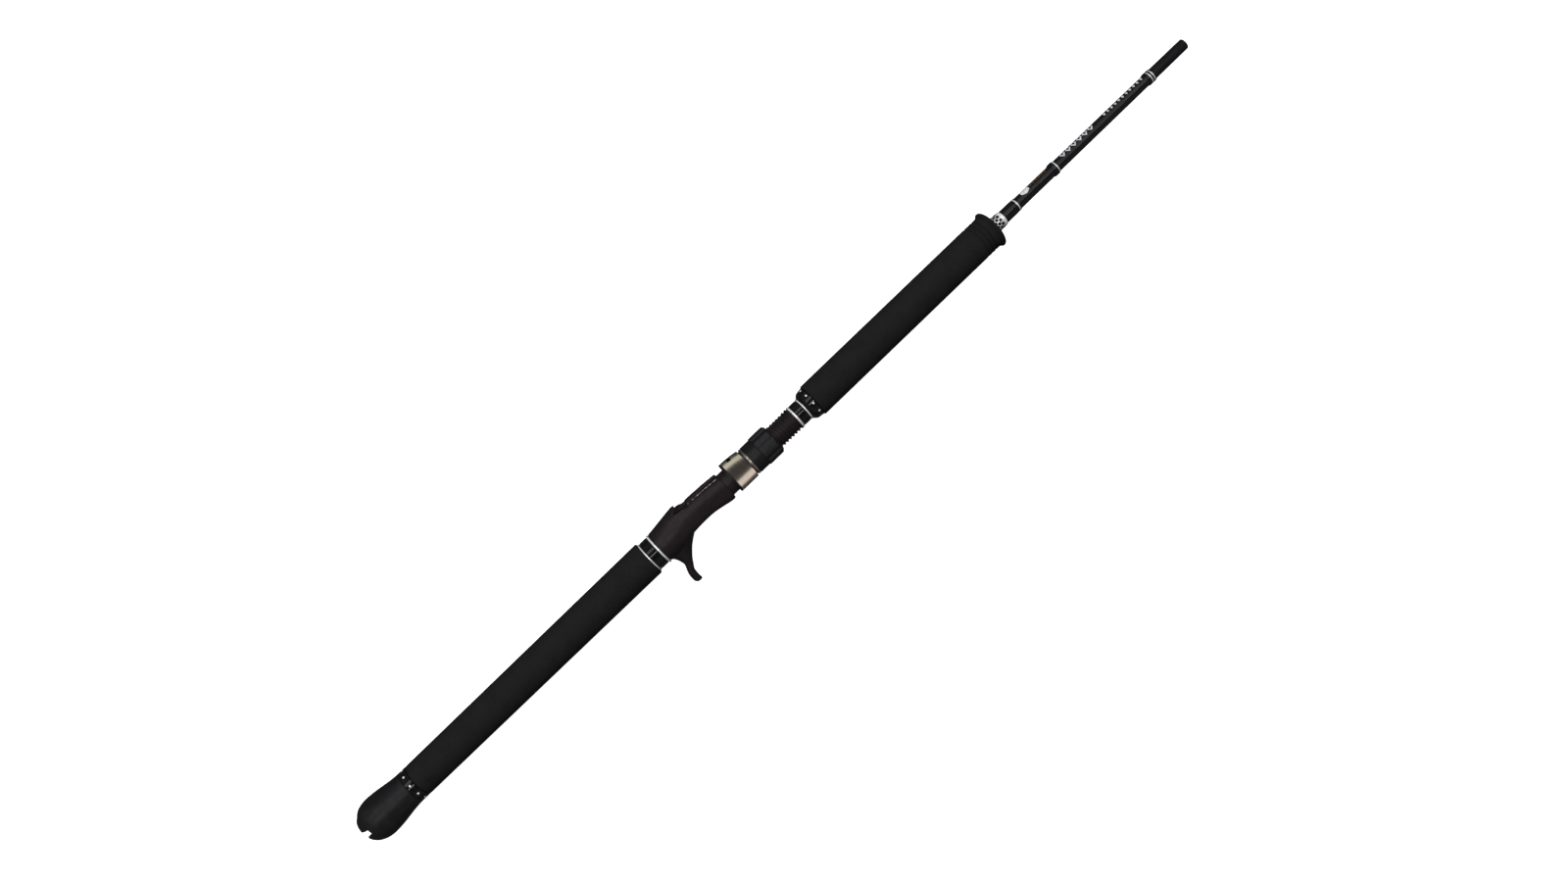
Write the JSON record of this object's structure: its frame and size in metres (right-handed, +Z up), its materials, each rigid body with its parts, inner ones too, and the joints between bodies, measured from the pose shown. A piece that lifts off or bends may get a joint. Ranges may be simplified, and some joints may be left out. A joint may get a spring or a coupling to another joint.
{
  "type": "fishing rod handle section",
  "caption": "Boat fishing rod's handle section: slotted butt cap, foam grips, trigger reel seat with sliding hood and lock nut, and hollow blank, without reel or guides.",
  "frame": {"origin": "on the rod's axis, at the centre of the floor of the butt cap's cross slot", "axes": "+X along the rod from butt to tip, +Z up as it lies on a table on its side, with the reel side toward +Y and 20 degrees above level and the trigger toward -Y"},
  "size_m": [0.9346, 0.0603, 0.0354],
  "materials": {
    "blank": "clear-coated black composite",
    "matt_blank": "uncoated black composite",
    "rubber_cap": "satin moulded rubber",
    "trim_black": "gloss black with bright dots",
    "foam": "matt closed-cell foam",
    "bright_ring": "polished",
    "gloss_collar": "high gloss black",
    "seat_plastic": "satin fibre-filled nylon, warm black",
    "arbor": "plain, hidden",
    "hood_steel": "satin stainless steel, slightly warm",
    "nut_plastic": "satin black nylon",
    "winding": "black thread under clear epoxy",
    "silver_winding": "metallic thread under clear epoxy"
  },
  "bodies": {
    "root": {"blank": "blank", "blank_front": "blank", "blank_tip": "matt_blank", "gimbal_cap": "rubber_cap", "butt_trim_ring": "trim_black", "rear_grip": "foam", "rear_edge_ring": "bright_ring", "rear_collar": "gloss_collar", "seat_edge_ring": "bright_ring", "reel_seat_body": "seat_plastic", "seat_arbor_1": "arbor", "seat_arbor_2": "arbor", "seat_arbor_3": "arbor", "front_edge_ring": "bright_ring", "front_collar": "gloss_collar", "fore_edge_ring": "bright_ring", "fore_trim_ring": "trim_black", "fore_grip": "foam", "winding_check": "bright_ring", "butt_wrap": "winding", "butt_wrap_band": "silver_winding", "mid_wrap": "winding", "mid_wrap_band": "silver_winding", "tip_wrap": "winding", "tip_wrap_band_rear": "silver_winding", "tip_wrap_band_front": "silver_winding"},
    "hood": {"hood_shell": "hood_steel", "hood_liner": "nut_plastic"},
    "nut": {"lock_nut": "nut_plastic", "nut_ring": "bright_ring"}
  },
  "joints": [
    {"name": "hood_slide", "type": "slide", "parent": "root", "child": "hood", "axis": [1, 0, 0], "range_m": [-0.0065, 0.0225]},
    {"name": "nut_turn", "type": "hinge", "parent": "hood", "child": "nut", "pos_m": [0.43, 0, 0], "axis": [1, 0, 0], "range_deg": [-709, 2454]}
  ],
  "couplings": [
    {"joint": "hood_slide", "follows": "nut_turn", "m_per_rad": 0.00052521}
  ]
}
